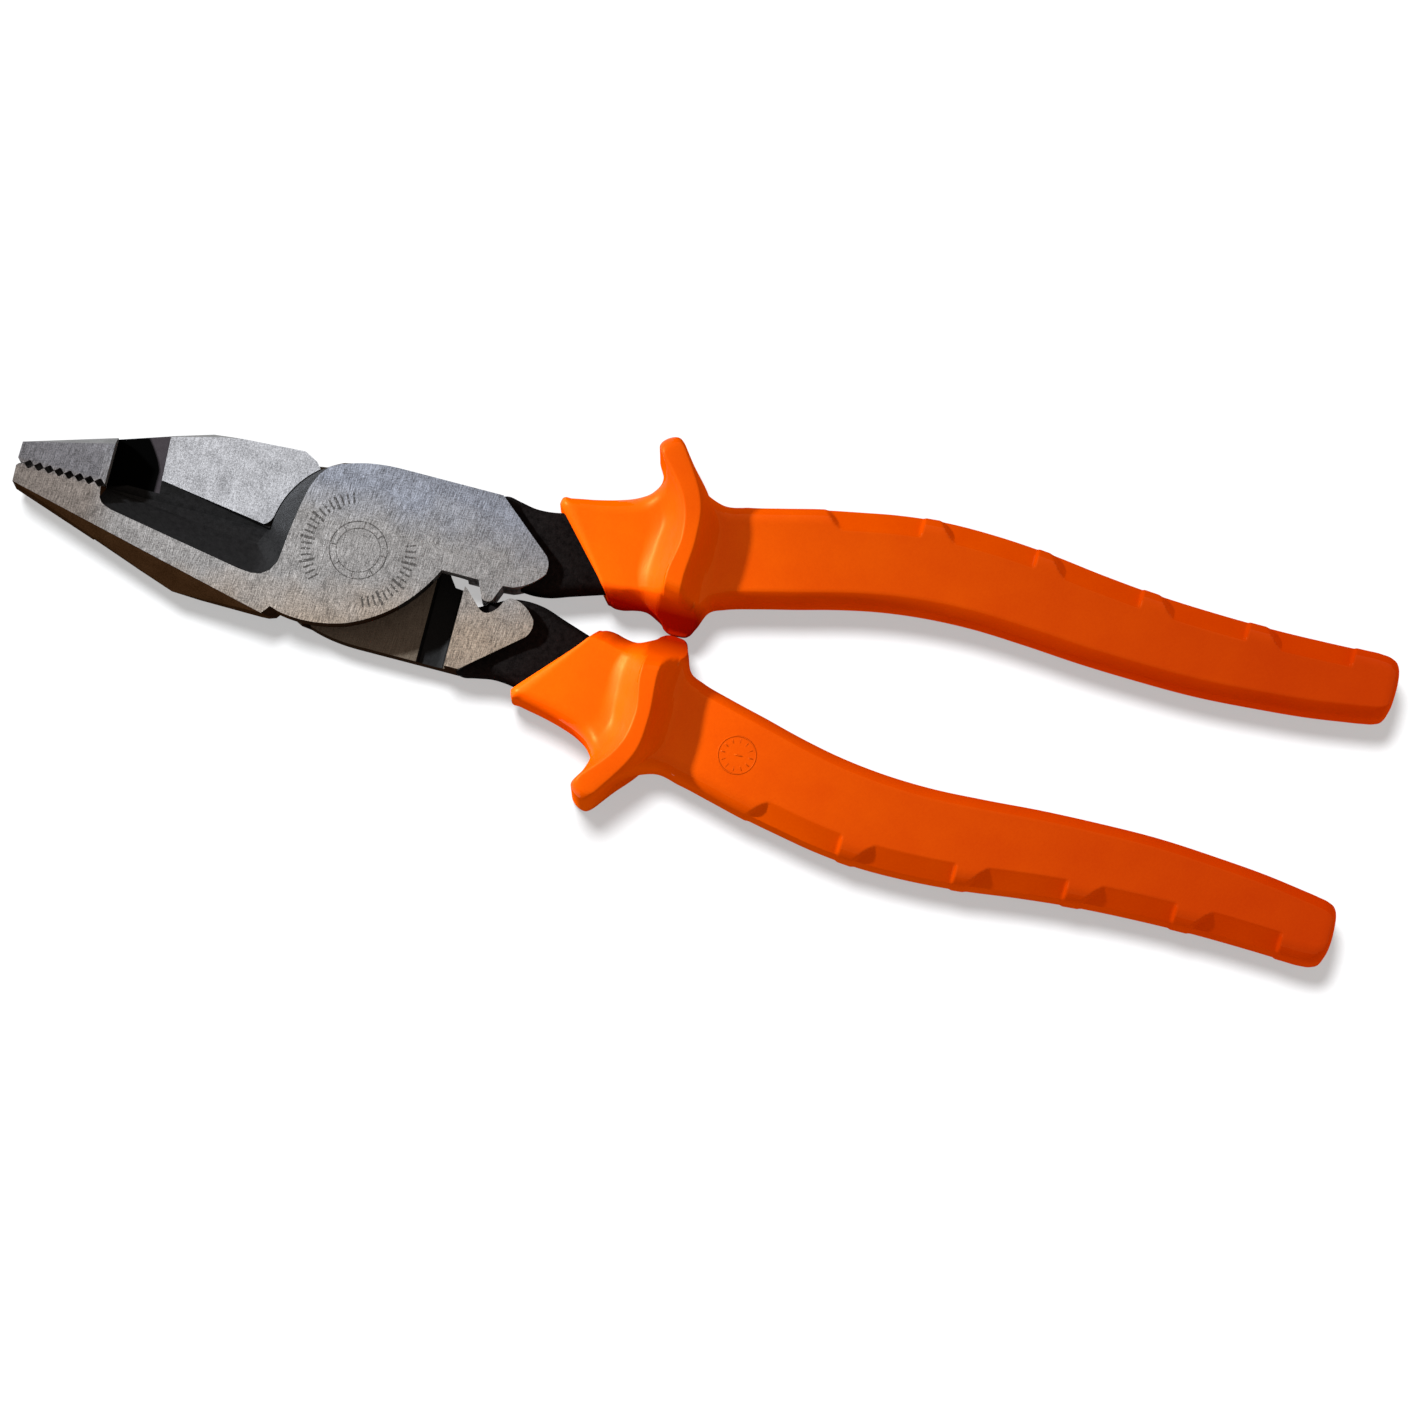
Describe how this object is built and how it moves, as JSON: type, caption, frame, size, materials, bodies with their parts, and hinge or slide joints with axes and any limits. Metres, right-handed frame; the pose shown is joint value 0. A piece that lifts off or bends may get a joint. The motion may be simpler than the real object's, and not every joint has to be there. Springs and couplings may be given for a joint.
{
  "type": "lineman pliers",
  "caption": "Insulated lineman pliers: two lapped forged halves on a rivet, with serrated nose, side cutters, crimping die and guarded two-layer grips.",
  "frame": {"origin": "on the rivet's axis, at the joint's lower ground face", "axes": "+X from the jaws to the handles along the closed tool, +Y towards the upper handle, +Z along the rivet, out of the upper ground face"},
  "size_m": [0.2465, 0.0684, 0.03],
  "materials": {
    "forged_steel": "ground faces with cross lines, black forged tangs and pocket",
    "rivet_steel": "ground flush",
    "inner_insulation": "matt",
    "outer_insulation": "satin, fine grain"
  },
  "bodies": {
    "upper_half": {"upper_forging": "forged_steel", "upper_sleeve": "inner_insulation", "upper_grip": "outer_insulation", "pivot_rivet": "rivet_steel"},
    "lower_half": {"lower_forging": "forged_steel", "lower_sleeve": "inner_insulation", "lower_grip": "outer_insulation"}
  },
  "joints": [
    {"name": "pivot", "type": "hinge", "parent": "upper_half", "child": "lower_half", "pos_m": [0, 0, 0.007], "axis": [0, 0, -1], "range_deg": [0, 45]}
  ]
}
